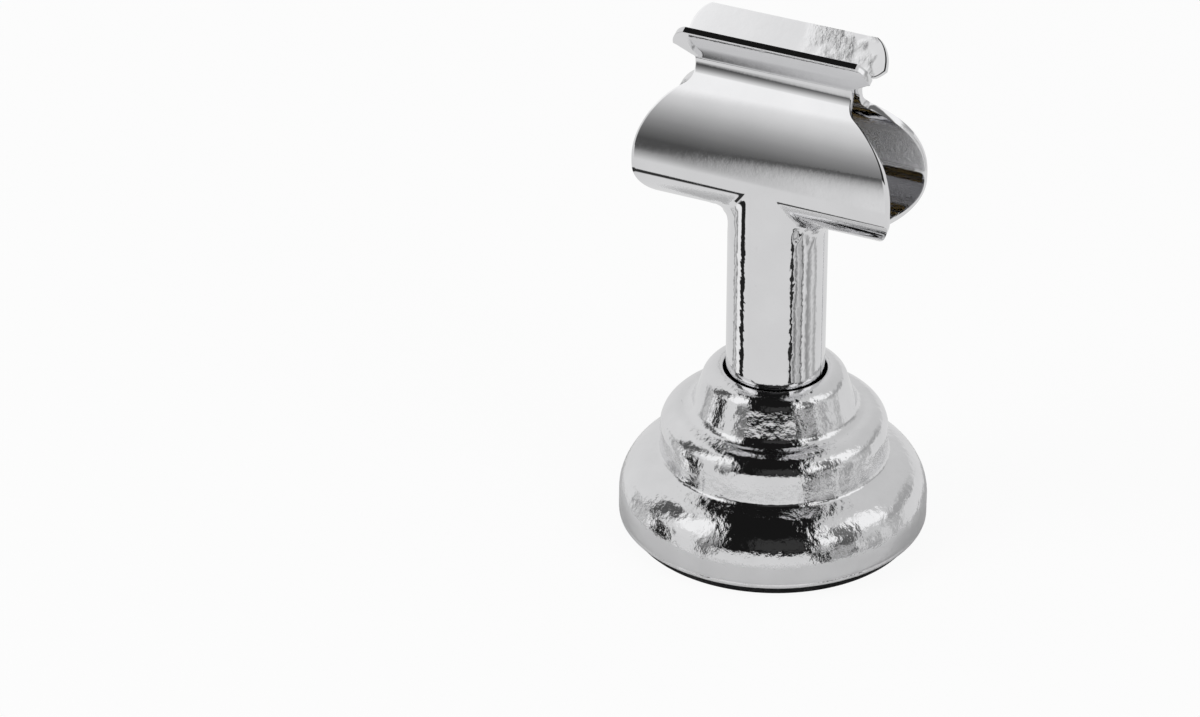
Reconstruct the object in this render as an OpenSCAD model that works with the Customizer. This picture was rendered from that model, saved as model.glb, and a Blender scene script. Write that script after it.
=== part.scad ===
// Place card holder: a spring clip of two stamped halves on a stepped, weighted base.
// Millimetres, +Z up. The origin is the centre of the foot, on the table.
// The clip's pinch line runs along X, and the front half faces -Y.

/* [Base] */
// Radius of the base at its rim
rim_r = 16; // [13:0.5:20]
// Height of the shell, from its rim to the flat round the stem
shell_h = 17.1; // [15:0.1:19]
// Radius of the middle tier
middle_r = 11.8; // [11:0.1:12.4]
// Height of the middle tier's top above the rim
middle_h = 12.3; // [11.6:0.1:12.8]
// Radius of the top tier
top_r = 7.9; // [7.6:0.1:8.2]
// Height of the lowest tier's top above the rim
lowest_h = 7.1; // [6.6:0.1:7.4]
// Wall of the pressed shell
shell_wall = 0.8; // [0.5:0.1:1]
// Thickness of the foot pad
pad_h = 1.2; // [0.8:0.1:2]
// How far the pad stays inside the rim
pad_inset = 1; // [0.2:0.1:1.6]

/* [Stem] */
// Outer radius of the stem
stem_r = 5.1; // [4.6:0.1:5.3]
// Gap between the stem and the hole in the shell
hole_gap = 0.25; // [0.1:0.05:0.5]
// Open seam between the two half round shells
seam_gap = 0.16; // [0.06:0.02:0.4]

/* [Clip] */
// Thickness of the stamped sheet
sheet_t = 0.7; // [0.6:0.1:1.2]
// Height of the bend line, where the jaws leave the trough
bend_z = 41.4; // [38:0.1:46]
// Height of the pinch line above the bend line
pinch_rise = 10.25; // [9:0.05:12]
// Width of the neck at the pinch line
neck_w = 17; // [14:0.1:18.5]
// Width of the jaws at their belly
belly_w = 28; // [26:0.1:32]
// Width of the lips
lip_w = 21; // [20:0.1:26]
// Length of a lip, from the pinch line to its tip
lip_len = 5.2; // [4.5:0.1:8]
// Lean of each lip from upright, in degrees
lip_lean = 30; // [25:1:45]
// Gap left between the closed jaws
jaw_gap = 0.14; // [0.06:0.02:0.4]

/* [Fixing] */
// Radius of the fixing screw's shank
screw_r = 1.5; // [1:0.1:2]
// Length of the fixing screw under its head
screw_len = 9; // [7:0.1:11]

/* [Hidden] */
$fn = 96;
// overrun of every cut
over = 1;
// clearance between loose pieces of the base
fit = 0.3;
// clearance between pieces pressed together
press = 0.02;

// shoulder rounds of the three tiers, each at most about as wide as its ledge, and the valleys
top_round = 1.9;
middle_round = 2.3;
lowest_round = 4.3;
valley_r = 0.6;
hole_r = stem_r + hole_gap;
top_shoulder = min(top_round, 0.9 * (top_r - hole_r));
middle_shoulder = min(middle_round, 1.03 * (middle_r - top_r));
lowest_shoulder = min(lowest_round, 1.03 * (rim_r - middle_r));

// height of the shell's rim above the table
rim_z = pad_h;

// the screw's head and washer lie in a pocket under the weight
head_r = 1.85 * screw_r;
head_h = 1.1 * screw_r;
washer_r = 2.3 * screw_r;
washer_t = 0.6;
pocket_r = washer_r + fit;
pocket_h = head_h + washer_t + fit;
floor_z = rim_z + pocket_h + 1.2 * screw_r;
slot_w = 0.5 * screw_r;
slot_depth = 0.5 * head_h;

// stem and plug
stem_in = stem_r - sheet_t;
plug_top = floor_z + screw_len - 1.2 * screw_r + fit;
weight_top = rim_z + middle_h - shell_wall - fit;

// jaw section: two bends that meet upright at the pinch line, then the long belly bend
pinch_z = bend_z + pinch_rise;
pinch_u = (jaw_gap + sheet_t) / 2;
belly_u = stem_r - sheet_t / 2;
flare = 2 * atan((belly_u - pinch_u) / pinch_rise);
lower_bend = 2.2;
upper_bend = 1.8;
belly_bend = pinch_rise / sin(flare) - lower_bend;
lip_start_u = pinch_u + upper_bend * (1 - cos(lip_lean));
lip_start_z = pinch_z + upper_bend * sin(lip_lean);
lip_straight = lip_len - upper_bend * lip_lean * PI / 180;
lip_top = lip_start_z + lip_straight * cos(lip_lean) + sheet_t / 2 * sin(lip_lean);

// the trough: the lower, fixed part of the loop, which ends short of the other half
trough_r = belly_u;
trough_end = acos((seam_gap / 2 + sheet_t / 2) / trough_r);
// line where the sprung jaw and the fixed trough meet
bend_gap = 0.16;

// outline of a half, seen from the front
belly_shoulder = 8.8;
shoulder_rise = 0.35;
belly_corner = 4.4;
corner_drop = 0.8;
neck_fillet = 1.5;
lip_low = pinch_z + 0.75 * upper_bend;
lip_rise = lip_top - lip_low;
lip_reach = (lip_w - neck_w) / 2;
lip_corner = 0.8 * lip_rise;
lip_foot = min(0.19 * lip_rise, 0.5 * lip_reach);
notch_r = 0.45 * lip_reach;
// corner of the trough, seen from above
trough_corner = 4.4;
// angle between the points of a bend or a round
facet = 4;

// solid round of one tier of the shell, drawn in the r, z plane and shrunk by inset
module tier(r, h, shoulder, inset) {
    rr = r - inset;
    hh = h - inset;
    bend = max(shoulder - inset, shell_wall / 4);
    square([rr, hh - bend]);
    square([rr - bend, hh]);
    intersection() {
        translate([rr - bend, hh - bend]) circle(bend);
        square([rr, hh]);
    }
}

// concave round where a wall of radius r meets the tier top at height h
module valley(r, h, round_r) {
    difference() {
        translate([r - round_r, h - round_r]) square(2 * round_r);
        translate([r + round_r, h + round_r]) circle(round_r);
    }
}

module shell_profile(inset) {
    round_r = valley_r + inset;
    tier(top_r, shell_h, top_shoulder, inset);
    tier(middle_r, middle_h, middle_shoulder, inset);
    tier(rim_r, lowest_h, lowest_shoulder, inset);
    valley(top_r - inset, middle_h - inset, round_r);
    valley(middle_r - inset, lowest_h - inset, round_r);
}

module base_shell() {
    color([0.8, 0.8, 0.82])
    difference() {
        translate([0, 0, rim_z]) rotate_extrude() shell_profile(0);
        translate([0, 0, rim_z]) rotate_extrude() shell_profile(shell_wall);
        translate([0, 0, rim_z]) cylinder(h = shell_h + over, r = hole_r);
    }
}

// cast weight: two discs that follow the shell, bored for the stem and the screw
module ballast_weight() {
    lower_r = rim_r - shell_wall - lowest_shoulder / 2;
    lower_h = lowest_h - lowest_shoulder / 2 - shell_wall;
    upper_r = middle_r - shell_wall - middle_shoulder / 3;
    color([0.28, 0.28, 0.3])
    difference() {
        union() {
            translate([0, 0, rim_z]) cylinder(h = lower_h, r = lower_r);
            translate([0, 0, rim_z]) cylinder(h = weight_top - rim_z - middle_shoulder / 3, r = upper_r);
        }
        translate([0, 0, floor_z]) cylinder(h = weight_top, r = stem_r + press);
        translate([0, 0, rim_z - over]) cylinder(h = pocket_h + over, r = pocket_r);
        translate([0, 0, rim_z - over]) cylinder(h = floor_z + over, r = screw_r + fit / 2);
    }
}

module foot_pad() {
    color([0.05, 0.05, 0.05])
    cylinder(h = pad_h, r = rim_r - pad_inset);
}

// plug that keeps the stem halves apart and takes the screw
module stem_plug() {
    color([0.75, 0.65, 0.35])
    difference() {
        translate([0, 0, floor_z]) cylinder(h = plug_top - floor_z, r = stem_in - press);
        translate([0, 0, floor_z - over]) cylinder(h = screw_len + over, r = screw_r);
    }
}

module screw_washer() {
    under = rim_z + pocket_h - washer_t;
    color([0.6, 0.6, 0.62])
    difference() {
        translate([0, 0, under]) cylinder(h = washer_t, r = washer_r);
        translate([0, 0, under - over]) cylinder(h = washer_t + 2 * over, r = screw_r + fit / 2);
    }
}

module base_screw() {
    seat = rim_z + pocket_h - washer_t;
    color([0.65, 0.65, 0.67])
    difference() {
        union() {
            translate([0, 0, seat - head_h]) cylinder(h = head_h, r = head_r);
            translate([0, 0, seat - head_h]) cylinder(h = head_h + screw_len, r = screw_r);
        }
        translate([-head_r - over, -slot_w / 2, seat - head_h - over])
            cube([2 * (head_r + over), slot_w, slot_depth + over]);
    }
}

// points of an arc round c, from angle a0 to a1, a step of about facet degrees apart
function arc(c, r, a0, a1) =
    let (steps = ceil(abs(a1 - a0) / facet))
    [for (i = [0:steps]) let (a = a0 + (a1 - a0) * i / steps) c + r * [cos(a), sin(a)]];

function reversed(points) = [for (i = [len(points) - 1:-1:0]) points[i]];

function mirrored(points) = [for (p = reversed(points)) [-p[0], p[1]]];

// one face of the jaw's sheet, from the lip's tip down: side is 1 for the outer face, -1 for the inner
function jaw_face(side) =
    let (out = side * sheet_t / 2)
    concat(
        [[lip_start_u + lip_straight * sin(lip_lean) + out * cos(lip_lean),
            lip_start_z + lip_straight * cos(lip_lean) - out * sin(lip_lean)]],
        arc([pinch_u + upper_bend, pinch_z], upper_bend - out, 180 - lip_lean, 180),
        arc([pinch_u + lower_bend, pinch_z], lower_bend - out, 180, 180 + flare),
        arc([belly_u - belly_bend, bend_z], belly_bend + out, flare, 0)
    );

// the sprung jaw's section: u is the distance out from the middle plane
module jaw_section() {
    polygon(concat(jaw_face(1), reversed(jaw_face(-1))));
}

// the trough's section, a bend round the clip's lower axis
module trough_section() {
    polygon(concat(
        arc([0, bend_z], trough_r + sheet_t / 2, -trough_end, 0),
        arc([0, bend_z], trough_r - sheet_t / 2, 0, -trough_end)
    ));
}

// right side of a half's outline seen from the front, in the x, z plane, from its top down
function outline_side() =
    let (
        side = belly_w / 2,
        shoulder = [side - belly_shoulder, bend_z + shoulder_rise],
        round_x = neck_w / 2 + neck_fillet,
        lean = acos((round_x - shoulder[0]) / (belly_shoulder + neck_fillet)),
        round_z = shoulder[1] + (belly_shoulder + neck_fillet) * sin(lean)
    )
    concat(
        arc([lip_w / 2 - lip_corner, lip_top - lip_corner], lip_corner, 90, 0),
        arc([lip_w / 2 - lip_foot, lip_low + lip_foot], lip_foot, 0, -90),
        arc([neck_w / 2 + notch_r, lip_low - notch_r], notch_r, 90, 180),
        arc([round_x, round_z], neck_fillet, 180, 180 + lean),
        arc(shoulder, belly_shoulder, lean, 0),
        arc([side - belly_corner, bend_z - corner_drop], belly_corner, 0, -90)
    );

module front_outline() {
    translate([0, stem_r + over]) rotate([90, 0, 0]) linear_extrude(height = 2 * (stem_r + over))
        polygon(concat(outline_side(), mirrored(outline_side())));
}

// outline of the trough seen from above, with its corners cut round near the middle plane
function plan_side() =
    concat(
        [[belly_w / 2 + over, -stem_r - over], [belly_w / 2 + over, -trough_corner]],
        arc([belly_w / 2 - trough_corner, -trough_corner], trough_corner, 0, 90)
    );

module trough_plan() {
    translate([0, 0, bend_z - 2 * stem_r]) linear_extrude(height = 2 * stem_r)
        polygon(concat(plan_side(), mirrored(plan_side())));
}

// a section in the u, z plane, swept along X and facing -Y
module swept_front(width) {
    rotate([90, 0, -90]) translate([0, 0, -width / 2]) linear_extrude(height = width) children();
}

module front_jaw_solid() {
    difference() {
        intersection() {
            swept_front(belly_w + 2 * over) jaw_section();
            front_outline();
        }
        translate([-belly_w, -belly_w, bend_z - over]) cube([2 * belly_w, 2 * belly_w, over + bend_gap / 2]);
    }
}

// half of the stem, and the trough that it opens into
module front_stem_solid() {
    difference() {
        union() {
            intersection() {
                swept_front(belly_w + 2 * over) trough_section();
                front_outline();
                trough_plan();
            }
            difference() {
                translate([0, 0, floor_z]) cylinder(h = bend_z - floor_z, r = stem_r);
                translate([-2 * stem_r, 0, bend_z]) rotate([0, 90, 0]) cylinder(h = 4 * stem_r, r = trough_r);
            }
        }
        translate([0, 0, floor_z - over]) cylinder(h = bend_z, r = stem_in);
        translate([-belly_w, -seam_gap / 2, 0]) cube([2 * belly_w, belly_w, lip_top]);
        translate([-belly_w, -belly_w, bend_z - bend_gap / 2]) cube([2 * belly_w, 2 * belly_w, lip_top]);
    }
}

module front_jaw() {
    color([0.82, 0.82, 0.84]) front_jaw_solid();
}

module back_jaw() {
    color([0.74, 0.74, 0.77]) mirror([0, 1, 0]) front_jaw_solid();
}

module front_stem_half() {
    color([0.78, 0.78, 0.8]) front_stem_solid();
}

module back_stem_half() {
    color([0.7, 0.7, 0.73]) mirror([0, 1, 0]) front_stem_solid();
}

base_shell();
ballast_weight();
foot_pad();
stem_plug();
base_screw();
screw_washer();
front_stem_half();
back_stem_half();
front_jaw();
back_jaw();
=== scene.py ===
"""Looks of the place card holder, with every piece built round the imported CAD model."""

import math

import bmesh
import bpy
from bpy.props import (
    FloatProperty,
    FloatVectorProperty,
    IntProperty,
    PointerProperty,
)
from mathutils import Matrix, Vector, noise


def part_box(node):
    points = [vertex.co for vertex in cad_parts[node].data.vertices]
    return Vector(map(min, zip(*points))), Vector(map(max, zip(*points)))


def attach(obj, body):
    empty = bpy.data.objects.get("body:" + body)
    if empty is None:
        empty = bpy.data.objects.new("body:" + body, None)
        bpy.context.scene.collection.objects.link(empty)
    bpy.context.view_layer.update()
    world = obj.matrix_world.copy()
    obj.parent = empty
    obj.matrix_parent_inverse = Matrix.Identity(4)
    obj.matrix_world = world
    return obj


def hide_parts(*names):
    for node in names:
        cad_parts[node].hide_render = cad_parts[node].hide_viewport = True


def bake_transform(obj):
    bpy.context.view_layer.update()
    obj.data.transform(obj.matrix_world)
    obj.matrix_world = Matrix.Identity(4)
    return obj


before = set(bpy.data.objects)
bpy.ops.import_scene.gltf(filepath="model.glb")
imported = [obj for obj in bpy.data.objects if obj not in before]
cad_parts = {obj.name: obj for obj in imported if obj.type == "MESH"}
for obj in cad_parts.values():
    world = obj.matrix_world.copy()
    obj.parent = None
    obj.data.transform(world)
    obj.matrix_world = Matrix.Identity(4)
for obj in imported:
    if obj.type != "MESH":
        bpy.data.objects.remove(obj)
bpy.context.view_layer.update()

bl_info = {
    "name": "Place card holder",
    "version": (1, 0, 0),
    "blender": (4, 5, 0),
    "location": "3D View > Sidebar > Card Holder",
    "description": "Builds a chromed place card holder: stepped base, stem and spring clip",
    "category": "Object",
}

MM = 0.001
SHELL_LOW, SHELL_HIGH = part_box("base_shell")
PAD_LOW, PAD_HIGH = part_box("foot_pad")
JAW_LOW, JAW_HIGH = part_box("front_jaw")
STEM_LOW, STEM_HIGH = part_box("front_stem_half")

# The base: its tiers' shoulder rounds, how far the top tier's is set in, how far under its tier's
# top the lowest one is centred, the rounds of the shell's edges and the bead at its rim
TOP_ROUND = 1.9 * MM
TOP_SET_IN = 0.3 * MM
MIDDLE_ROUND = 2.3 * MM
LOWEST_ROUND = 5.0 * MM
LOWEST_DROP = 4.9 * MM
SHELL_EDGE = 0.22 * MM
RIM_BEAD = 0.5 * MM
# Ripple of the plated skin: lengths of its two waves, and how flat they are
RIPPLE_LONG = 3.3 * MM
RIPPLE_SHORT = 1.3 * MM
RIPPLE_SQUEEZE = 1.9
# Outline of a clip half: the belly's shoulder and its centre above the bend line, the fillet to
# the neck, the low corner and its start under the bend line, and the lip's foot above the pinch
SHOULDER_ROUND = 8.8 * MM
SHOULDER_RISE = 0.35 * MM
NECK_FILLET = 1.5 * MM
LOW_CORNER = 4.4 * MM
CORNER_DROP = 0.8 * MM
LIP_RISE = 1.35 * MM
# Creases where the trough turns into the stem: their place beside and off the axis and under the
# bend line, their reach, and the sizes of coarse and fine folds
CREASE_X, CREASE_Y, CREASE_DROP = 4.5 * MM, 2.2 * MM, 4.9 * MM
CREASE_REACH = 1.9 * MM
FOLD_COARSE = 0.9 * MM
FOLD_FINE = 0.4 * MM
# Rows down a clip half and columns across it
LIP_STEPS, TROUGH_STEPS, STEM_STEPS = 28, 36, 46
INNER_COLUMNS, OUTER_COLUMNS = 40, 26
# Middle surface of the sheet round the loop: the belly's height, the jaw's radius, how far its
# centre lies beyond the stem's axis, and the trough's radius
BELLY_Z = 41.4 * MM
JAW_CURVE = 12.1 * MM
JAW_CURVE_BACK = 7.35 * MM
TROUGH_CURVE = 4.75 * MM

# The photograph's camera, fitted to the holder in the picture
CAMERA_PLACE = (0.18985, -0.43054, 0.29272)
CAMERA_AHEAD = (-0.37901, 0.77758, -0.50171)
CAMERA_SHIFT = -0.0068
CAMERA_AZIMUTH = -23.8
# Share of plain white in the floor that the camera sees
FLOOR_WHITE = 0.93

# Tones of the surround: angle in degrees, level
TABLE_STOPS = [
    (-24, 0.98), (-19, 0.98), (-14.5, 0.9), (-10, 0.74), (-5, 0.4), (-2.5, 0.17), (0, 0.09)
]
LEFT_SIDE_STOPS = [
    (-6, 0.1), (3, 0.21), (12, 0.36), (21, 0.56), (29, 0.78), (38, 0.98), (46, 1.1), (54, 1.25),
    (74, 1.25), (78, 0.4), (90, 0.02)
]
# Half the dark card's width: roll in degrees, sine of the angle to its side
CARD_STOPS = [
    (-2, 0.61), (53, 0.49), (70, 0.42), (90, 0.38), (104, 0.38), (117, 0.3), (130, 0.14), (138, 0.0)
]
LEFT_STRIPS = [
    (-118, 0.8), (-113, 0.35), (-107, 0.9), (-101, 0.3), (-99, 1.15), (-92, 1.15), (-90, 0.02),
    (-79, 0.02), (-77, 0.95), (-62, 0.9)
]
RIGHT_STRIPS = [
    (30, 0.84), (33, 0.84), (34, 0.03), (40, 0.03), (42, 0.9), (48, 0.25), (54, 0.8), (60, 0.1),
    (66, 1.0), (76, 0.4), (88, 0.9), (100, 0.5), (108, 0.84)
]


def length(label, words, default, low=0.0):
    """A size that a user can change, in metres."""
    return FloatProperty(
        name=label, description=words, default=default, min=low, unit="LENGTH", precision=5
    )


def count(label, words, default, low=1):
    """A number of steps."""
    return IntProperty(name=label, description=words, default=default, min=low)


def tilt(label, words, degrees):
    """An angle that a user can change, given in degrees."""
    return FloatProperty(
        name=label, description=words, default=math.radians(degrees), subtype="ANGLE"
    )


def amount(label, words, default):
    """A brightness in the studio, or another plain number."""
    return FloatProperty(name=label, description=words, default=default)


def shade(label, words, default):
    """A colour that a user can change."""
    return FloatVectorProperty(
        name=label,
        description=words,
        default=default,
        min=0.0,
        max=1.0,
        size=3,
        subtype="COLOR",
    )


class BaseSizes(bpy.types.PropertyGroup):
    """Sizes of the plated base"""

    rim_radius: length("Rim radius", "Radius of the base at its rim", SHELL_HIGH.x)
    rim_height: length("Rim height", "Height of the rim above the table", SHELL_LOW.z)
    top_height: length("Top height", "Height of the base's flat top", SHELL_HIGH.z)
    middle_radius: length("Middle radius", "Radius of the middle tier", 11.8 * MM)
    middle_height: length("Middle height", "Height of the middle tier above the rim", 12.3 * MM)
    upper_radius: length("Upper radius", "Radius of the top tier", 7.9 * MM)
    lowest_height: length("Lowest height", "Height of the lowest tier above the rim", 7.1 * MM)
    hole_radius: length("Hole radius", "Radius of the hole round the stem", 5.35 * MM)
    wall: length("Wall", "Wall of the pressed shell", 0.8 * MM)
    valley: length("Valley", "Round in the valley between two tiers", 0.62 * MM)
    top_valley: length("Top valley", "Round in the valley under the top tier", 1.3 * MM)
    top_lean: tilt("Top lean", "Lean of the top tier's wall", 19)
    ripple: length("Ripple", "Depth of the slow ripple in the plated skin", 0.022 * MM)
    turns: count("Turns", "Steps round the base", 256, 24)


class ClipSizes(bpy.types.PropertyGroup):
    """Sizes of the two stamped halves of stem and clip"""

    sheet: length("Sheet", "Thickness of the stamped sheet", 0.7 * MM)
    stem_radius: length("Stem radius", "Outer radius of the stem", -STEM_LOW.y)
    stem_foot: length("Stem foot", "Height of the stem's lower end", STEM_LOW.z)
    bend_height: length("Bend height", "Height of the belly, where jaw and trough meet", 41.4 * MM)
    pinch_height: length("Pinch height", "Height of the pinch line", 51.65 * MM)
    lip_height: length("Lip height", "Height of the lips' tips", JAW_HIGH.z)
    jaw_gap: length("Jaw gap", "Gap between the closed jaws", 0.14 * MM)
    seam_gap: length("Seam gap", "Gap between the two halves of the stem", 0.16 * MM)
    belly_half: length("Half belly", "Half the width of the jaws at their belly", JAW_HIGH.x)
    neck_half: length("Half neck", "Half the width at the pinch line", 8.5 * MM)
    lip_half: length("Half lip", "Half the width of a lip", 10.7 * MM)
    lower_bend: length("Lower bend", "Middle radius of the bend under the pinch line", 2.2 * MM)
    upper_bend: length("Upper bend", "Middle radius of the bend over the pinch line", 1.8 * MM)
    lip_lean: tilt("Lip lean", "Lean of the front lip from upright", 24)
    back_lean: tilt("Back lip lean", "Lean of the back lip from upright", 37)
    uneven: length("Uneven lips", "How far the front lip ends below the back one", 0.8 * MM)
    skew: length("Skew", "How far the front lip stands to the left", 0.5 * MM)
    root_round: length("Root round", "Round where the trough runs into the stem", 1.9 * MM)
    edge_round: length("Edge round", "Round of the sheet's edges", 0.32 * MM)
    crumple: length("Crumple", "Depth of the crumpled corners under the trough", 0.16 * MM)


class Finishes(bpy.types.PropertyGroup):
    """Colours of the materials"""

    chrome: shade("Chrome", "Colour of the bright plating", (0.83, 0.83, 0.84))
    foam: shade("Foot pad", "Colour of the foot pad", (0.012, 0.012, 0.013))
    iron: shade("Weight", "Colour of the cast weight", (0.13, 0.13, 0.135))
    brass: shade("Plug", "Colour of the turned plug", (0.62, 0.44, 0.17))
    steel: shade("Screw", "Colour of the screw and washer", (0.5, 0.5, 0.52))


class StageSettings(bpy.types.PropertyGroup):
    """Levels of the studio, and the lens"""

    floor_tone: shade("Floor", "Colour of the floor", (0.8, 0.8, 0.8))
    dome_tone: amount("Dome", "Level of the pale dome", 0.95)
    box_tone: amount("Soft boxes", "Level of the bright boxes at both sides", 1.28)
    card_tone: amount("Dark card", "Level of the dark card behind the camera", 0.012)
    lens: amount("Lens", "Focal length in millimetres", 159.17)


def math_node(tree, operation, *values):
    """The result of a sum on sockets and plain numbers."""
    made = tree.nodes.new("ShaderNodeMath")
    made.operation = operation
    for socket, value in zip(made.inputs, values):
        if hasattr(value, "is_output"):
            tree.links.new(value, socket)
        else:
            socket.default_value = value
    return made.outputs[0]


def product(tree, first, *others):
    """Several levels multiplied with each other."""
    for other in others:
        first = math_node(tree, "MULTIPLY", first, other)
    return first


def mix_levels(tree, factor, first, second):
    """Goes from first to second with factor, where each is a socket or a plain level."""
    made = tree.nodes.new("ShaderNodeMix")
    made.data_type = "FLOAT"
    tree.links.new(factor, made.inputs["Factor"])
    for key, value in (("A", first), ("B", second)):
        if hasattr(value, "is_output"):
            tree.links.new(value, made.inputs[key])
        else:
            made.inputs[key].default_value = value
    return made.outputs["Result"]


def soft_range(tree, value, low, high, to_low=0.0, to_high=1.0):
    """A smooth change from to_low to to_high as value goes from low to high."""
    made = tree.nodes.new("ShaderNodeMapRange")
    made.interpolation_type = "SMOOTHSTEP"
    tree.links.new(value, made.inputs["Value"])
    limits = (("From Min", low), ("From Max", high), ("To Min", to_low), ("To Max", to_high))
    for key, number in limits:
        made.inputs[key].default_value = number
    return made.outputs["Result"]


class Finish:
    """A node material, with short words for the nodes that the finishes share."""

    def __init__(self, name):
        self.material = bpy.data.materials.new(name)
        self.material.use_nodes = True
        self.tree = self.material.node_tree
        self.shader = self.tree.nodes["Principled BSDF"]
        self.place = self.node("ShaderNodeTexCoord").outputs["Object"]

    def node(self, kind, **values):
        made = self.tree.nodes.new(kind)
        for key, value in values.items():
            setattr(made, key, value)
        return made

    def link(self, source, target):
        self.tree.links.new(source, target)

    def drive(self, source, key):
        """Lets a socket set one of the shader's inputs."""
        self.link(source, self.shader.inputs[key])

    def set(self, **values):
        for key, value in values.items():
            self.shader.inputs[key].default_value = value

    def mapped(self, scale):
        """The place on the piece, stretched along each axis."""
        made = self.node("ShaderNodeMapping")
        made.inputs["Scale"].default_value = scale
        self.link(self.place, made.inputs["Vector"])
        return made.outputs["Vector"]

    def grain(self, scale, detail=3.0, rough=0.5, vector=None):
        """Noise with about this many grains to the metre."""
        made = self.node("ShaderNodeTexNoise")
        made.inputs["Scale"].default_value = scale
        made.inputs["Detail"].default_value = detail
        made.inputs["Roughness"].default_value = rough
        self.link(self.place if vector is None else vector, made.inputs["Vector"])
        return made.outputs["Fac"]

    def ramp(self, source, stops):
        """Colours or levels at places from 0 to 1 along source."""
        made = self.node("ShaderNodeValToRGB")
        band = made.color_ramp
        while len(band.elements) < len(stops):
            band.elements.new(0.5)
        for element, (at, tone) in zip(band.elements, stops):
            element.position = at
            element.color = (*tone, 1) if hasattr(tone, "__len__") else (tone, tone, tone, 1)
        self.link(source, made.inputs["Fac"])
        return made.outputs["Color"]

    def relief(self, height, depth, over=None):
        """A bump of this depth, laid over another one."""
        made = self.node("ShaderNodeBump")
        made.inputs["Strength"].default_value = 1.0
        made.inputs["Distance"].default_value = depth
        self.link(height, made.inputs["Height"])
        if over is not None:
            self.link(over, made.inputs["Normal"])
        return made.outputs["Normal"]

    def mottle(self, grain, colour, low, high, span=(0.3, 0.7)):
        """A base colour that wanders between a darker and a lighter tone of itself."""
        dark, light = (tuple(min(1, c * share) for c in colour) for share in (low, high))
        self.drive(self.ramp(grain, [(span[0], dark), (span[1], light)]), "Base Color")


def bright_plate(name, colour, peel, pits):
    """Mirror plating over a pressed skin: a fine orange peel, and a few dull specks."""
    f = Finish(name)
    f.mottle(f.grain(260, 4), colour, 0.96, 1.03)
    specks = f.ramp(f.grain(900, 5, 0.65), [(0.45, 0.025), (0.62, 0.05), (0.78, 0.16)])
    f.drive(specks, "Roughness")
    f.set(Metallic=1.0)
    slow = f.relief(f.grain(420, 2), peel)
    f.drive(f.relief(f.grain(1700, 3, 0.6), pits, over=slow), "Normal")
    return f.material


def inside_loop(f, y, z):
    """1 on the sheet's inner face between the pinch line and the trough, 0 outside."""
    tree = f.tree
    above = math_node(tree, "SUBTRACT", z, BELLY_Z)
    square = math_node(tree, "MULTIPLY", above, above)
    jaw = math_node(tree, "SQRT", math_node(tree, "SUBTRACT", JAW_CURVE ** 2, square))
    jaw = math_node(tree, "SUBTRACT", jaw, JAW_CURVE_BACK)
    trough = math_node(tree, "SUBTRACT", TROUGH_CURVE ** 2, square)
    trough = math_node(tree, "SQRT", math_node(tree, "MAXIMUM", trough, 0.0))
    wall = mix_levels(tree, math_node(tree, "GREATER_THAN", above, 0.0), trough, jaw)
    depth = math_node(tree, "SUBTRACT", wall, math_node(tree, "ABSOLUTE", y))
    return soft_range(tree, depth, -0.1 * MM, 0.1 * MM)


def bright_sheet(name, colour, peel):
    """Mirror plating over rolled sheet, with drawn lines, dents on the stem and two worn places.

    One is a flaked patch on the back lip, the other a dull band on the back half inside the loop.
    """
    f = Finish(name)
    tree = f.tree
    spread = f.node("ShaderNodeSeparateXYZ")
    f.link(f.place, spread.inputs["Vector"])
    x, y, z = spread.outputs

    def ramped(source, low, high):
        """Goes from 0 at low to 1 at high, both in millimetres."""
        return soft_range(tree, source, low * MM, high * MM)

    on_stem = ramped(z, 38.5, 33)
    on_lip = product(tree, ramped(z, 51.5, 53), ramped(x, 1, 4), ramped(y, 0, 1))
    flaked = product(tree, on_lip, soft_range(tree, f.grain(260, 2), 0.4, 0.56))
    on_back = product(tree, inside_loop(f, y, z), ramped(y, 1, 3))
    dull = product(tree, on_back, ramped(z, 41.5, 42.5), ramped(z, 47.8, 46.2))

    f.mottle(f.grain(180, 4), colour, 0.97, 1.03)
    skin = f.relief(f.grain(300, 2, vector=f.mapped((0.12, 1, 1))), peel)
    skin = f.relief(f.grain(1500, 3, 0.6), peel * 0.25, over=skin)
    for grain, where, share in (
        (f.grain(330, 3, 0.65), on_stem, 14),
        (f.grain(2100, 4, 0.7), flaked, 9),
        (f.grain(1900, 4, 0.7), dull, 30),
    ):
        skin = f.relief(product(tree, grain, where), peel * share, over=skin)
    f.drive(skin, "Normal")

    worn = f.ramp(f.grain(700, 6, 0.7), [(0.5, 0.03), (0.66, 0.06), (0.8, 0.2)])
    worn = mix_levels(tree, dull, worn, 0.25)
    worn = mix_levels(tree, product(tree, flaked, 0.7), worn, 0.3)
    f.drive(worn, "Roughness")
    f.drive(mix_levels(tree, dull, 1.0, 0.6), "Metallic")
    return f.material


def soft_foam(name, colour):
    """Dense black foam rubber with open pores."""
    f = Finish(name)
    f.mottle(f.grain(1400, 4), colour, 0.6, 1.8, span=(0.35, 0.7))
    f.drive(f.ramp(f.grain(500), [(0.3, 0.75), (0.7, 0.95)]), "Roughness")
    f.drive(f.relief(f.grain(2600, 4, 0.7), 0.05 * MM), "Normal")
    return f.material


def cast_iron(name, colour):
    """Grey iron as it leaves the mould, sandy and a little rusty in its hollows."""
    f = Finish(name)
    dark, light = (tuple(c * share for c in colour) for share in (0.7, 1.3))
    rust = (0.16, 0.09, 0.05)
    sand = f.ramp(f.grain(340, 6, 0.65), [(0.25, rust), (0.42, dark), (0.7, light)])
    f.drive(sand, "Base Color")
    f.drive(f.ramp(f.grain(600), [(0.3, 0.55), (0.7, 0.8)]), "Roughness")
    f.set(Metallic=0.7)
    f.drive(f.relief(f.grain(1300, 5, 0.7), 0.06 * MM), "Normal")
    return f.material


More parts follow.
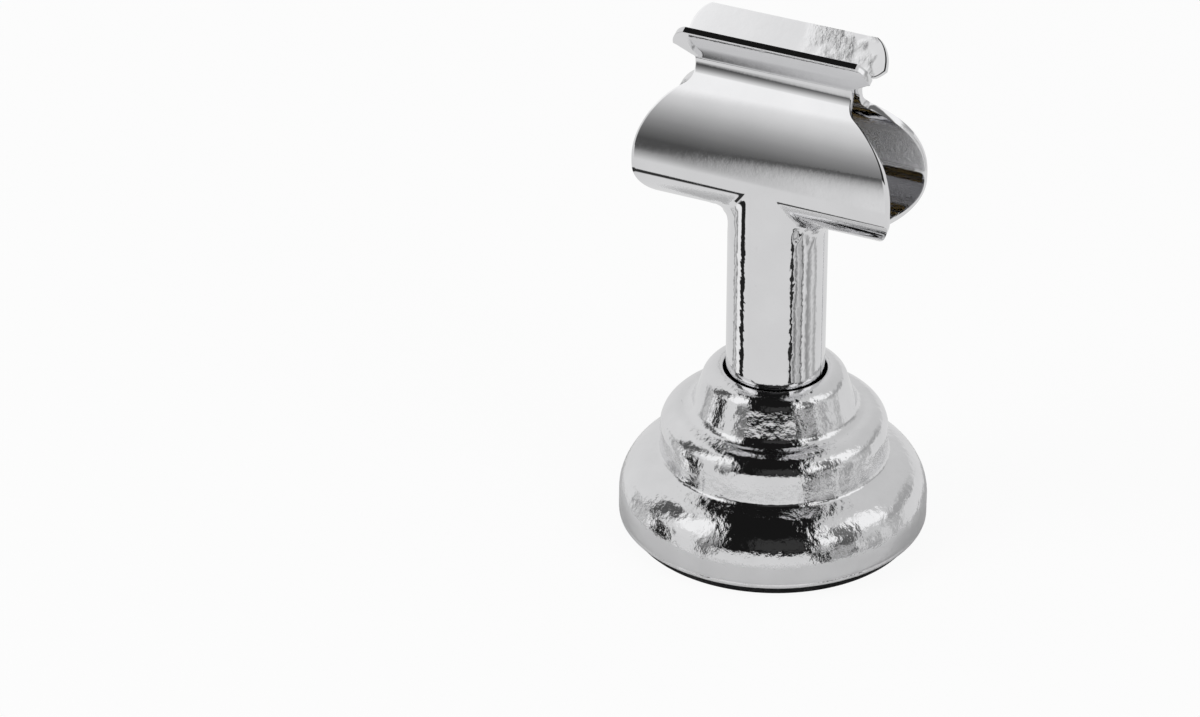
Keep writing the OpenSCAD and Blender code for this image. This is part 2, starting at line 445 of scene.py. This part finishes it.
def turned_metal(name, colour, rough):
    """Turned metal: fine rings across the axis, with a little tarnish."""
    f = Finish(name)
    f.mottle(f.grain(280, 5), colour, 0.75, 1.12)
    f.drive(f.ramp(f.grain(500, 4), [(0.3, rough), (0.75, rough + 0.15)]), "Roughness")
    f.set(Metallic=1.0)
    rings = f.grain(900, 2, vector=f.mapped((0.05, 0.05, 4)))
    f.drive(f.relief(rings, 0.01 * MM), "Normal")
    return f.material


def new_piece(name, bm, finish):
    """A finished mesh object at the origin, with smooth faces, one material."""
    mesh = bpy.data.meshes.new(name)
    bm.to_mesh(mesh)
    bm.free()
    mesh.shade_smooth()
    piece = bpy.data.objects.new(name, mesh)
    bpy.context.scene.collection.objects.link(piece)
    mesh.materials.append(finish)
    return piece


def apply_modifiers(piece):
    """Puts the result of the piece's modifiers into its mesh, so that nothing on it stays live."""
    bpy.context.view_layer.update()
    graph = bpy.context.evaluated_depsgraph_get()
    final = bpy.data.meshes.new_from_object(piece.evaluated_get(graph))
    final.name = piece.name
    piece.modifiers.clear()
    piece.data = final


def arc(centre, radius, start, stop, steps):
    """Points of an arc in the plane, from start to stop in degrees."""
    turn = (math.radians(start + (stop - start) * i / steps) for i in range(steps + 1))
    return [(centre[0] + radius * math.cos(a), centre[1] + radius * math.sin(a)) for a in turn]


def wall_points(top, bottom, steps=5):
    """Points between the ends of a straight wall, so that the ripple bends it too."""
    return [tuple(Vector(top).lerp(Vector(bottom), i / steps)) for i in range(1, steps)]


def circle_rise(radius, reach):
    """Height of a circle at a distance from its middle, and 0 past its rim."""
    return math.sqrt(max(0, radius * radius - reach * reach))


def shell_line(b, inset):
    """One side of the base's wall in the r, z plane, from the hole to the rim, drawn in by inset.

    The top tier's wall leans in a little about the line of the solid's upright wall, as pressed.
    """
    middle_top, lowest_top = b.rim_height + b.middle_height, b.rim_height + b.lowest_height
    lean_degrees = math.degrees(b.top_lean)
    top_at = Vector((b.upper_radius - TOP_ROUND - TOP_SET_IN, b.top_height - TOP_ROUND))
    dip_z = middle_top + b.top_valley
    reach = TOP_ROUND + b.top_valley + (top_at.y - dip_z) * math.sin(b.top_lean)
    dip_at = Vector((top_at.x + reach / math.cos(b.top_lean), dip_z))
    middle_at = (b.middle_radius - MIDDLE_ROUND, middle_top - MIDDLE_ROUND)
    ditch_at = (b.middle_radius + b.valley, lowest_top + b.valley)
    lowest_at = (b.rim_radius - LOWEST_ROUND, lowest_top - LOWEST_DROP)

    line = arc(top_at, TOP_ROUND - inset, 90, lean_degrees, 18)
    valley = arc(dip_at, b.top_valley + inset, 180 + lean_degrees, 262, 12)
    line += wall_points(line[-1], valley[0]) + valley
    line += arc(middle_at, MIDDLE_ROUND - inset, 81, 0, 20)
    valley = arc(ditch_at, b.valley + inset, 180, 246, 10)
    line += wall_points(line[-1], valley[0]) + valley
    line += arc(lowest_at, LOWEST_ROUND - inset, 66, 0, 33)
    return line


def ripple_at(point):
    """Slow ripple of the plated skin, from about -1 to 1."""
    flat = Vector((point.x, point.y, point.z * RIPPLE_SQUEEZE))
    slow = noise.noise(flat / RIPPLE_LONG)
    quick = noise.noise(flat / RIPPLE_SHORT + Vector((7, 3, 1)))
    return slow + 0.35 * quick


def build_shell(b, finish):
    """The pressed shell of the base, spun from the line of its wall."""
    outer, inner = shell_line(b, 0.0), shell_line(b, b.wall)
    rim, radius, edge = b.rim_height, b.rim_radius, SHELL_EDGE
    mouth = arc((b.hole_radius + edge, b.top_height - edge), edge, 180, 90, 6)
    wall_top = outer[-1][1]
    wall_foot = rim + RIM_BEAD * 1.3
    wall = [(radius, wall_top + (wall_foot - wall_top) * i / 8) for i in range(1, 9)]
    groove = radius - 0.05 * MM
    foot = [
        (groove, rim + RIM_BEAD * 1.08),
        (groove, rim + RIM_BEAD * 0.96),
        (radius, rim + RIM_BEAD * 0.76),
    ] + arc((radius - edge, rim + edge), edge, 0, -90, 6)
    inside = [(radius - b.wall, rim)] + inner[::-1] + [(b.hole_radius, b.top_height - b.wall)]
    bm = bmesh.new()
    loop = [bm.verts.new((x, 0, z)) for x, z in mouth + outer + wall + foot + inside]
    edges = [bm.edges.new((a, c)) for a, c in zip(loop, loop[1:] + loop[:1])]
    bmesh.ops.spin(
        bm,
        geom=loop + edges,
        cent=(0, 0, 0),
        axis=(0, 0, 1),
        angle=math.tau,
        steps=b.turns,
        use_merge=True,
    )
    bmesh.ops.remove_doubles(bm, verts=bm.verts, dist=0.002 * MM)
    bmesh.ops.recalc_face_normals(bm, faces=bm.faces)
    bm.normal_update()
    ripples = [(v, v.normal.copy(), ripple_at(v.co)) for v in bm.verts]
    for vert, outward, height in ripples:
        vert.co += outward * height * b.ripple
    return new_piece("base_dome", bm, finish)


def build_pad(finish):
    """The soft foot pad, a round disc with its edges worn round."""
    bm = bmesh.new()
    height = PAD_HIGH.z - PAD_LOW.z
    bmesh.ops.create_cone(
        bm,
        cap_ends=True,
        segments=160,
        radius1=PAD_HIGH.x,
        radius2=PAD_HIGH.x,
        depth=height,
        matrix=Matrix.Translation((0, 0, PAD_LOW.z + height / 2)),
    )
    caps = [f for f in bm.faces if len(f.verts) > 4]
    bmesh.ops.inset_region(bm, faces=caps, thickness=1.2 * MM)
    sharp = [e for e in bm.edges if e.calc_face_angle(0) > 1]
    bmesh.ops.bevel(
        bm,
        geom=sharp,
        offset=0.22 * MM,
        segments=3,
        profile=0.5,
        affect="EDGES",
        material=-1,
    )
    return new_piece("foot_disc", bm, finish)


def smooth_step(low, high, value):
    """Goes smoothly from 0 at low to 1 at high."""
    t = min(1, max(0, (value - low) / (high - low)))
    return t * t * (3 - 2 * t)


def half_width(c, z, tip):
    """Half the width of a clip half at height z.

    From above it is the round lip, the neck, the fillet and shoulder, and the round low corner.
    """
    lip_low = c.pinch_height + LIP_RISE
    corner = 0.8 * (tip - lip_low)
    if z >= tip - corner:
        rise = min(corner, z - (tip - corner))
        return c.lip_half - corner + circle_rise(corner, rise)
    if z >= c.pinch_height:
        widening = smooth_step(lip_low - 1.0 * MM, lip_low + 0.9 * MM, z)
        return c.neck_half + (c.lip_half - c.neck_half) * widening
    centre_x = c.belly_half - SHOULDER_ROUND
    centre_z = c.bend_height + SHOULDER_RISE
    fillet_x = c.neck_half + NECK_FILLET
    lean = math.acos((fillet_x - centre_x) / (SHOULDER_ROUND + NECK_FILLET))
    fillet_z = centre_z + (SHOULDER_ROUND + NECK_FILLET) * math.sin(lean)
    if z >= fillet_z:
        return c.neck_half
    if z >= centre_z + SHOULDER_ROUND * math.sin(lean):
        return fillet_x - circle_rise(NECK_FILLET, fillet_z - z)
    if z >= centre_z:
        return centre_x + circle_rise(SHOULDER_ROUND, z - centre_z)
    drop = min(LOW_CORNER, max(0, c.bend_height - CORNER_DROP - z))
    return c.belly_half - LOW_CORNER + circle_rise(LOW_CORNER, drop)


def clip_rows(c, tip, lip_lean):
    """Rows of a clip half's outer face: distance out, height and half width.

    They run from the lip's tip through the pinch line down to the belly at the bend line.
    """
    half = c.sheet / 2
    pinch_u = (c.jaw_gap + c.sheet) / 2
    belly_u = c.stem_radius - half
    rise = c.pinch_height - c.bend_height
    flare = 2 * math.atan((belly_u - pinch_u) / rise)
    flare_degrees, lean_degrees = math.degrees(flare), math.degrees(lip_lean)
    belly_bend = rise / math.sin(flare) - c.lower_bend
    lower_at = (pinch_u + c.lower_bend, c.pinch_height)
    upper_at = (pinch_u + c.upper_bend, c.pinch_height)
    belly_at = (belly_u - belly_bend, c.bend_height)
    upper = arc(upper_at, c.upper_bend - half, 180 - lean_degrees, 180, 10)
    lower = arc(lower_at, c.lower_bend - half, 180, 180 + flare_degrees, 16)
    belly = arc(belly_at, belly_bend + half, flare_degrees, 0, 34)

    tip_z = tip - half * math.sin(lip_lean)
    start_z = c.pinch_height + c.upper_bend * math.sin(lip_lean)
    straight = (tip_z - start_z) / math.cos(lip_lean)
    out = Vector((math.sin(lip_lean), math.cos(lip_lean)))
    lip = []
    for i in range(LIP_STEPS):
        along = straight * (1 - (i / LIP_STEPS) ** 1.4)
        lip.append((upper[0][0] + out.x * along, upper[0][1] + out.y * along))
    lift = half * math.sin(lip_lean)
    line = lip + upper + lower[1:] + belly[1:]
    return [(u, z, half_width(c, z + lift if z > start_z else z, tip)) for u, z in line]


def trough_half_width(c, angle):
    """Half the width of the trough at an angle under the bend line, round at its low corner."""
    short = max(0, LOW_CORNER - c.stem_radius * math.cos(angle))
    by_depth = c.belly_half - LOW_CORNER + circle_rise(LOW_CORNER, short)
    z = c.bend_height - c.stem_radius * math.sin(angle)
    return min(by_depth, half_width(c, z, c.lip_height))


def blended(c, point):
    """How far a point is outside the stem and trough, blended with a round, and the way out."""
    x, y, z = point
    drop = z - c.bend_height
    stem_way = Vector((x, y, 0))
    trough_way = Vector((0, y, drop))
    a, b = stem_way.length - c.stem_radius, trough_way.length - c.stem_radius
    stem_way.normalize()
    trough_way.normalize()
    reach = c.root_round * (1 - abs(stem_way.dot(trough_way)))
    if reach < 1e-9:
        return (a, stem_way) if a < b else (b, trough_way)
    overlap = max(0, reach - abs(a - b)) / reach
    depth = min(a, b) - overlap * overlap * reach / 4
    share = min(1, max(0, 0.5 + 0.5 * (b - a) / reach))
    way = (trough_way * (1 - share) + stem_way * share).normalized()
    return depth, way


def crumple_at(c, point, seed):
    """Creases pressed into the two corners where the trough turns into the stem."""
    spot = Vector((math.copysign(CREASE_X, point.x), CREASE_Y, c.bend_height - CREASE_DROP))
    away = (Vector((point.x, abs(point.y), point.z)) - spot).length
    near = math.exp(-((away / CREASE_REACH) ** 2))
    if near < 0.01:
        return 0.0
    coarse = noise.noise(point / FOLD_COARSE + seed)
    fine = noise.noise(point / FOLD_FINE + seed)
    return near * (coarse + 0.5 * fine) * c.crumple


def half_rows(c, side):
    """All rows of a half from its lip to the stem's foot, and how many belong to the jaw."""
    if side < 0:
        rows = clip_rows(c, c.lip_height - c.uneven, c.lip_lean)
    else:
        rows = clip_rows(c, c.lip_height, c.back_lean)
    jaw_rows = len(rows)
    trough_end = math.acos((c.seam_gap / 2 + c.sheet / 2) / (c.stem_radius - c.sheet / 2))
    for i in range(1, TROUGH_STEPS + 1):
        angle = trough_end * i / TROUGH_STEPS
        out = c.stem_radius * math.cos(angle)
        z = c.bend_height - c.stem_radius * math.sin(angle)
        rows.append((out, z, trough_half_width(c, angle)))
    last_z = rows[-1][1]
    for i in range(1, STEM_STEPS + 1):
        share = (i / STEM_STEPS) ** 1.15
        rows.append((0, last_z + (c.stem_foot - last_z) * share, 0))
    return rows, jaw_rows


def half_sheet(c, side, seed):
    """The outer face of a half: a grid laid out in rows down the sheet and columns across it.

    The inner columns follow the stem's half round, and the outer ones make the clip's two wings.
    """
    rows, jaw_rows = half_rows(c, side)
    stem_start = jaw_rows + TROUGH_STEPS
    last_z = rows[stem_start - 1][1]
    columns = (INNER_COLUMNS + OUTER_COLUMNS) * 2
    bm = bmesh.new()
    bmesh.ops.create_grid(bm, x_segments=columns, y_segments=len(rows) - 1, size=1)
    seam = math.asin(c.seam_gap / 2 / c.stem_radius)
    drop = []
    for vert in bm.verts:
        col = round((vert.co.x + 1) / 2 * columns)
        row = round((1 - vert.co.y) / 2 * (len(rows) - 1))
        u, z, width = rows[row]
        step = col - columns // 2
        sign = math.copysign(1, step)
        share = min(1, abs(step) / INNER_COLUMNS)
        angle = share * (math.pi / 2 - seam)
        on_stem = smooth_step(c.bend_height, last_z, z)
        x = c.stem_radius * (share * (1 - on_stem) + math.sin(angle) * on_stem)
        if row >= stem_start:
            if abs(step) > INNER_COLUMNS:
                drop.append(vert)
                continue
            u = c.stem_radius * math.cos(angle)
        elif abs(step) > INNER_COLUMNS:
            wing = (abs(step) - INNER_COLUMNS) / OUTER_COLUMNS
            x = c.stem_radius + (width - c.stem_radius) * wing
        elif row >= jaw_rows:
            u = max(u, circle_rise(c.stem_radius, x))
        place = Vector((sign * x, -u, z))
        if row >= jaw_rows:
            # A few steps bring the point onto the blended surface of stem and trough.
            for _ in range(6):
                depth, way = blended(c, place)
                place -= way * depth
            place += blended(c, place)[1] * crumple_at(c, place, seed)
        if side < 0:
            place.x -= c.skew * smooth_step(c.bend_height + 4 * MM, c.pinch_height, place.z)
        else:
            place.y = -place.y
        vert.co = place
    bmesh.ops.delete(bm, geom=drop, context="VERTS")
    bmesh.ops.recalc_face_normals(bm, faces=bm.faces)
    belly = Vector((0, side * c.stem_radius, c.bend_height))
    probe = min(bm.faces, key=lambda face: (face.calc_center_median() - belly).length)
    if probe.normal.y * side < 0:
        bmesh.ops.reverse_faces(bm, faces=bm.faces)
    return bm


def build_half(name, c, side, seed, finish):
    """One stamped half of the clip and stem as a single sheet: side is -1 in front, 1 behind."""
    half = new_piece(name, half_sheet(c, side, seed), finish)
    thicken = half.modifiers.new("wall", "SOLIDIFY")
    thicken.thickness = c.sheet
    thicken.offset = -1
    thicken.use_even_offset = True
    thicken.use_quality_normals = True
    rounded = half.modifiers.new("edge", "BEVEL")
    rounded.width = c.edge_round
    rounded.segments = 3
    rounded.limit_method = "ANGLE"
    rounded.angle_limit = math.radians(50)
    apply_modifiers(half)
    half.data.shade_smooth()
    return half


class HOLDER_OT_base(bpy.types.Operator):
    """Builds the plated shell of the base"""

    bl_idname = "holder.base"
    bl_label = "Base"

    def execute(self, context):
        scene = context.scene
        colour = scene.holder_finishes.chrome
        finish = bright_plate("bright_plate", colour, peel=0.09 * MM, pits=0.042 * MM)
        shell = build_shell(scene.holder_base, finish)
        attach(shell, "stand")
        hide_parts("base_shell")
        return {"FINISHED"}


class HOLDER_OT_foot(bpy.types.Operator):
    """Builds the soft pad under the base"""

    bl_idname = "holder.foot"
    bl_label = "Foot pad"

    def execute(self, context):
        pad = build_pad(soft_foam("foot_foam", context.scene.holder_finishes.foam))
        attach(pad, "stand")
        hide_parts("foot_pad")
        return {"FINISHED"}


class HOLDER_OT_clip(bpy.types.Operator):
    """Builds the two stamped halves, each from its lip down to the foot of the stem"""

    bl_idname = "holder.clip"
    bl_label = "Clip halves"

    def execute(self, context):
        scene = context.scene
        c = scene.holder_clip
        finish = bright_sheet("bright_sheet", scene.holder_finishes.chrome, peel=0.005 * MM)
        halves = (("front", -1, Vector((1.7, 0.4, 2.3))), ("back", 1, Vector((5.1, 8.2, 0.6))))
        for word, side, seed in halves:
            half = build_half(f"{word}_half", c, side, seed, finish)
            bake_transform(half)
            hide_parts(f"{word}_stem_half", f"{word}_jaw")
        return {"FINISHED"}


class HOLDER_OT_inside(bpy.types.Operator):
    """Finishes the pieces inside the base, whose CAD solids stay as they are"""

    bl_idname = "holder.inside"
    bl_label = "Inner pieces"

    def execute(self, context):
        colours = context.scene.holder_finishes
        finishes = {
            "ballast_weight": cast_iron("cast_weight", colours.iron),
            "stem_plug": turned_metal("turned_brass", colours.brass, rough=0.2),
            "base_screw": turned_metal("screw_steel", colours.steel, rough=0.28),
            "screw_washer": turned_metal("washer_steel", colours.steel, rough=0.35),
        }
        for node, finish in finishes.items():
            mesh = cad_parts[node].data
            mesh.materials.clear()
            mesh.materials.append(finish)
        return {"FINISHED"}


class Surround:
    """The world that the plating mirrors, with its levels by direction. Angles are in degrees."""

    def __init__(self):
        self.world = bpy.data.worlds.new("studio_dome")
        self.world.use_nodes = True
        self.tree = self.world.node_tree
        self.tree.nodes.clear()

    def band(self, source, low, high, soft):
        """1 between two angles and 0 outside them, with soft edges."""
        low_edge = math.radians(low - soft), math.radians(low + soft)
        high_edge = math.radians(high - soft), math.radians(high + soft)
        start = soft_range(self.tree, source, *low_edge)
        end = soft_range(self.tree, source, *high_edge, 1, 0)
        return product(self.tree, start, end)

    def steps(self, source, stops):
        """Levels at angles, run together in straight lines."""
        first, last = stops[0][0], stops[-1][0]
        spread = self.tree.nodes.new("ShaderNodeMapRange")
        for key, number in (("From Min", first), ("From Max", last)):
            spread.inputs[key].default_value = math.radians(number)
        self.tree.links.new(source, spread.inputs["Value"])
        ramp = self.tree.nodes.new("ShaderNodeValToRGB")
        elements = ramp.color_ramp.elements
        while len(elements) < len(stops):
            elements.new(0.5)
        for element, (at, tone) in zip(elements, stops):
            element.position = (at - first) / (last - first)
            element.color = (tone, tone, tone, 1)
        self.tree.links.new(spread.outputs["Result"], ramp.inputs["Fac"])
        return ramp.outputs["Color"]

    def lay(self, level, *places):
        """Lays places over a level one after another, each a mask and the level that it brings."""
        for mask, tone in places:
            level = mix_levels(self.tree, mask, level, tone)
        return level

    def show(self, level):
        """Puts the level on the world, plain white to the camera itself."""
        rays = self.tree.nodes.new("ShaderNodeLightPath")
        level = mix_levels(self.tree, rays.outputs["Is Camera Ray"], level, 1.0)
        glow = self.tree.nodes.new("ShaderNodeBackground")
        self.tree.links.new(level, glow.inputs["Strength"])
        out = self.tree.nodes.new("ShaderNodeOutputWorld")
        self.tree.links.new(glow.outputs["Background"], out.inputs["Surface"])
        bpy.context.scene.world = self.world


def build_dome(settings):
    """The studio round the object: a pale dome, bright boxes, a dark card and strips.

    Azimuth is 0 toward the camera and grows to the right, height is 0 at the horizon, and roll
    goes from the horizon on the camera's side up over the top. Swung is the azimuth with a wave
    in it, which bends the upright edges of boxes and strips.
    """
    dome = Surround()
    tree, band, steps, lay = dome.tree, dome.band, dome.steps, dome.lay
    place = tree.nodes.new("ShaderNodeTexCoord")
    turned = tree.nodes.new("ShaderNodeMapping")
    turned.inputs["Rotation"].default_value = (0, 0, math.radians(CAMERA_AZIMUTH))
    tree.links.new(place.outputs["Generated"], turned.inputs["Vector"])
    parts = tree.nodes.new("ShaderNodeSeparateXYZ")
    tree.links.new(turned.outputs["Vector"], parts.inputs["Vector"])
    x, y, z = parts.outputs
    ahead = math_node(tree, "MULTIPLY", y, -1.0)
    azimuth = math_node(tree, "ARCTAN2", x, ahead)
    roll = math_node(tree, "ARCTAN2", math_node(tree, "MAXIMUM", z, 0.0), ahead)
    height = math_node(tree, "ARCSINE", z)
    warp = tree.nodes.new("ShaderNodeTexNoise")
    warp.inputs["Scale"].default_value = 3.0
    tree.links.new(turned.outputs["Vector"], warp.inputs["Vector"])
    wave = math_node(tree, "MULTIPLY_ADD", warp.outputs["Fac"], 0.5, -0.25)
    swung = math_node(tree, "ADD", azimuth, wave)

    def window(source, across, up):
        """A patch between two azimuths and two heights, each with its softness."""
        return product(tree, band(source, *across), band(height, *up))

    # The mirrored horizon lies 14 degrees low on the left and 5.5 degrees high in front.
    sunk = soft_range(tree, azimuth, math.radians(-47.5), math.radians(-43), 0.244, -0.096)
    rise = math_node(tree, "ADD", height, sunk)
    below = soft_range(tree, rise, math.radians(0.2), math.radians(-0.2))

    # Pale boxes and grey places of the dome, and its dark left side with a box of its own.
    base = soft_range(tree, x, -0.6, 0.7, 1.0, 0.82)
    level = product(tree, base, settings.dome_tone)
    left_side = steps(height, LEFT_SIDE_STOPS)
    level = lay(
        level,
        (window(swung, (92, 132, 6), (2, 20, 5)), 0.5),
        (window(swung, (34, 57, 3), (18, 63, 5)), settings.box_tone),
        (window(azimuth, (71, 99, 4), (20, 52, 5)), settings.box_tone),
        (window(swung, (52, 67, 3), (-4, 52, 6)), 0.2),
        (window(swung, (44, 62, 3), (3, 19, 3)), 0.12),
        (band(azimuth, -53, -37, 2), left_side),
        (window(azimuth, (-80, -53, 2), (22, 64, 5)), settings.box_tone),
        (window(swung, (-105, -86, 3), (-12, 50, 6)), 0.12),
    )

    # The dark card behind the camera narrows as it goes up over the top.
    beside = math_node(tree, "ABSOLUTE", math_node(tree, "ADD", x, 0.05))
    beside = math_node(tree, "SUBTRACT", beside, steps(roll, CARD_STOPS))
    card = product(tree, soft_range(tree, beside, -0.03, 0.03, 1, 0), band(rise, -1, 180, 1))
    dim = window(azimuth, (-15, 25, 3), (14, 42, 3))
    level = lay(level, (card, mix_levels(tree, dim, settings.card_tone, 0.05)))

    # The table: it darkens to the horizon on the left, with a dark line under the trough.
    near_line = band(azimuth, -51, -41, 2)
    near_line = product(
        tree, near_line, soft_range(tree, height, math.radians(-28), math.radians(-24))
    )
    ground = mix_levels(tree, near_line, 0.92, steps(rise, TABLE_STOPS))
    underline = product(tree, band(azimuth, -90, -59, 0.8), band(height, -56, -46.5, 1.2))
    ground = lay(ground, (underline, 0.04))
    level = lay(level, (below, ground))

    # Dark and pale strips low down at both sides, which the stem and the tiers' walls mirror.
    reach = band(height, -42, 7, 4)
    level = lay(
        level,
        (product(tree, band(swung, -117, -63, 1), reach), steps(swung, LEFT_STRIPS)),
        (product(tree, band(swung, 31, 107, 1), reach), steps(swung, RIGHT_STRIPS)),
    )
    dome.show(level)


def build_floor(settings):
    """A plain pale floor that keeps a soft shadow.

    The plating mirrors it only near the foot, and farther out it mirrors the surround's table.
    """
    bm = bmesh.new()
    bmesh.ops.create_grid(bm, x_segments=1, y_segments=1, size=3)
    mesh = bpy.data.meshes.new("floor")
    bm.to_mesh(mesh)
    bm.free()
    floor = bpy.data.objects.new("floor", mesh)
    bpy.context.scene.collection.objects.link(floor)
    f = Finish("floor_paper")
    f.shader.inputs["Base Color"].default_value = (*settings.floor_tone, 1)
    f.set(Roughness=0.9)
    rays = f.node("ShaderNodeLightPath")
    away = f.node("ShaderNodeVectorMath", operation="LENGTH")
    f.link(f.place, away.inputs[0])
    far = soft_range(f.tree, away.outputs["Value"], 24 * MM, 28 * MM)
    white = f.node("ShaderNodeEmission").outputs["Emission"]
    clear = f.node("ShaderNodeBsdfTransparent").outputs["BSDF"]
    surface = f.shader.outputs["BSDF"]
    for share, other in (
        (product(f.tree, rays.outputs["Is Camera Ray"], FLOOR_WHITE), white),
        (product(f.tree, rays.outputs["Is Glossy Ray"], far), clear),
    ):
        mix = f.node("ShaderNodeMixShader")
        f.link(share, mix.inputs["Fac"])
        f.link(surface, mix.inputs[1])
        f.link(other, mix.inputs[2])
        surface = mix.outputs["Shader"]
    f.link(surface, f.tree.nodes["Material Output"].inputs["Surface"])
    mesh.materials.append(f.material)


def build_lamp(name, place, size, watts):
    """A square soft lamp aimed at the holder's middle, which neither camera nor plating sees."""
    lamp = bpy.data.lights.new(name, "AREA")
    lamp.shape = "SQUARE"
    lamp.size = size
    lamp.energy = watts
    holder = bpy.data.objects.new(name, lamp)
    bpy.context.scene.collection.objects.link(holder)
    holder.location = place
    toward = Vector((0, 0, 30 * MM)) - Vector(place)
    holder.rotation_euler = toward.to_track_quat("-Z", "Y").to_euler()
    holder.visible_camera = False
    holder.visible_glossy = False


def build_camera(settings):
    """The photograph's view: a long lens, well above the table and to the right."""
    camera = bpy.data.cameras.new("camera")
    camera.lens = settings.lens
    camera.sensor_width = 36
    camera.shift_y = CAMERA_SHIFT
    camera.clip_start = 0.01
    holder = bpy.data.objects.new("camera", camera)
    bpy.context.scene.collection.objects.link(holder)
    holder.location = CAMERA_PLACE
    holder.rotation_euler = Vector(CAMERA_AHEAD).to_track_quat("-Z", "Y").to_euler()
    bpy.context.scene.camera = holder


class HOLDER_OT_stage(bpy.types.Operator):
    """Builds the floor, the studio dome, the soft lamps and the camera"""

    bl_idname = "holder.stage"
    bl_label = "Stage"

    def execute(self, context):
        scene = context.scene
        settings = scene.holder_stage
        build_floor(settings)
        build_dome(settings)
        build_lamp("soft_lamp_left", place=(-0.6, -0.5, 0.7), size=0.5, watts=4.0)
        build_lamp("soft_lamp_right", place=(0.8, -0.2, 0.7), size=0.5, watts=3.0)
        build_camera(settings)
        # The loop's inner faces mirror each other many times.
        scene.cycles.glossy_bounces = 12
        scene.view_settings.view_transform = "Standard"
        return {"FINISHED"}


class HOLDER_PT_panel(bpy.types.Panel):
    """Lists the holder's pieces and sizes in the sidebar"""

    bl_idname = "HOLDER_PT_panel"
    bl_label = "Card Holder"
    bl_space_type = "VIEW_3D"
    bl_region_type = "UI"
    bl_category = "Card Holder"

    def draw(self, context):
        layout = self.layout
        for operator in OPERATORS:
            layout.operator(operator.bl_idname)
        for group, pointer in GROUPS:
            box = layout.box()
            sizes = getattr(context.scene, pointer)
            for key in group.__annotations__:
                box.prop(sizes, key)


OPERATORS = (HOLDER_OT_base, HOLDER_OT_foot, HOLDER_OT_clip, HOLDER_OT_inside, HOLDER_OT_stage)
GROUPS = (
    (BaseSizes, "holder_base"),
    (ClipSizes, "holder_clip"),
    (Finishes, "holder_finishes"),
    (StageSettings, "holder_stage"),
)


def register():
    """Adds the sizes, operators and panel to Blender."""
    for group, pointer in GROUPS:
        bpy.utils.register_class(group)
        setattr(bpy.types.Scene, pointer, PointerProperty(type=group))
    for kind in OPERATORS + (HOLDER_PT_panel,):
        bpy.utils.register_class(kind)


def unregister():
    """Takes them out again, in the opposite order."""
    for kind in reversed(OPERATORS + (HOLDER_PT_panel,)):
        bpy.utils.unregister_class(kind)
    for group, pointer in reversed(GROUPS):
        delattr(bpy.types.Scene, pointer)
        bpy.utils.unregister_class(group)


def main():
    """Builds the whole scene."""
    register()
    bpy.ops.holder.base()
    bpy.ops.holder.foot()
    bpy.ops.holder.clip()
    bpy.ops.holder.inside()
    bpy.ops.holder.stage()
    bpy.context.view_layer.update()


if __name__ == "__main__":
    main()
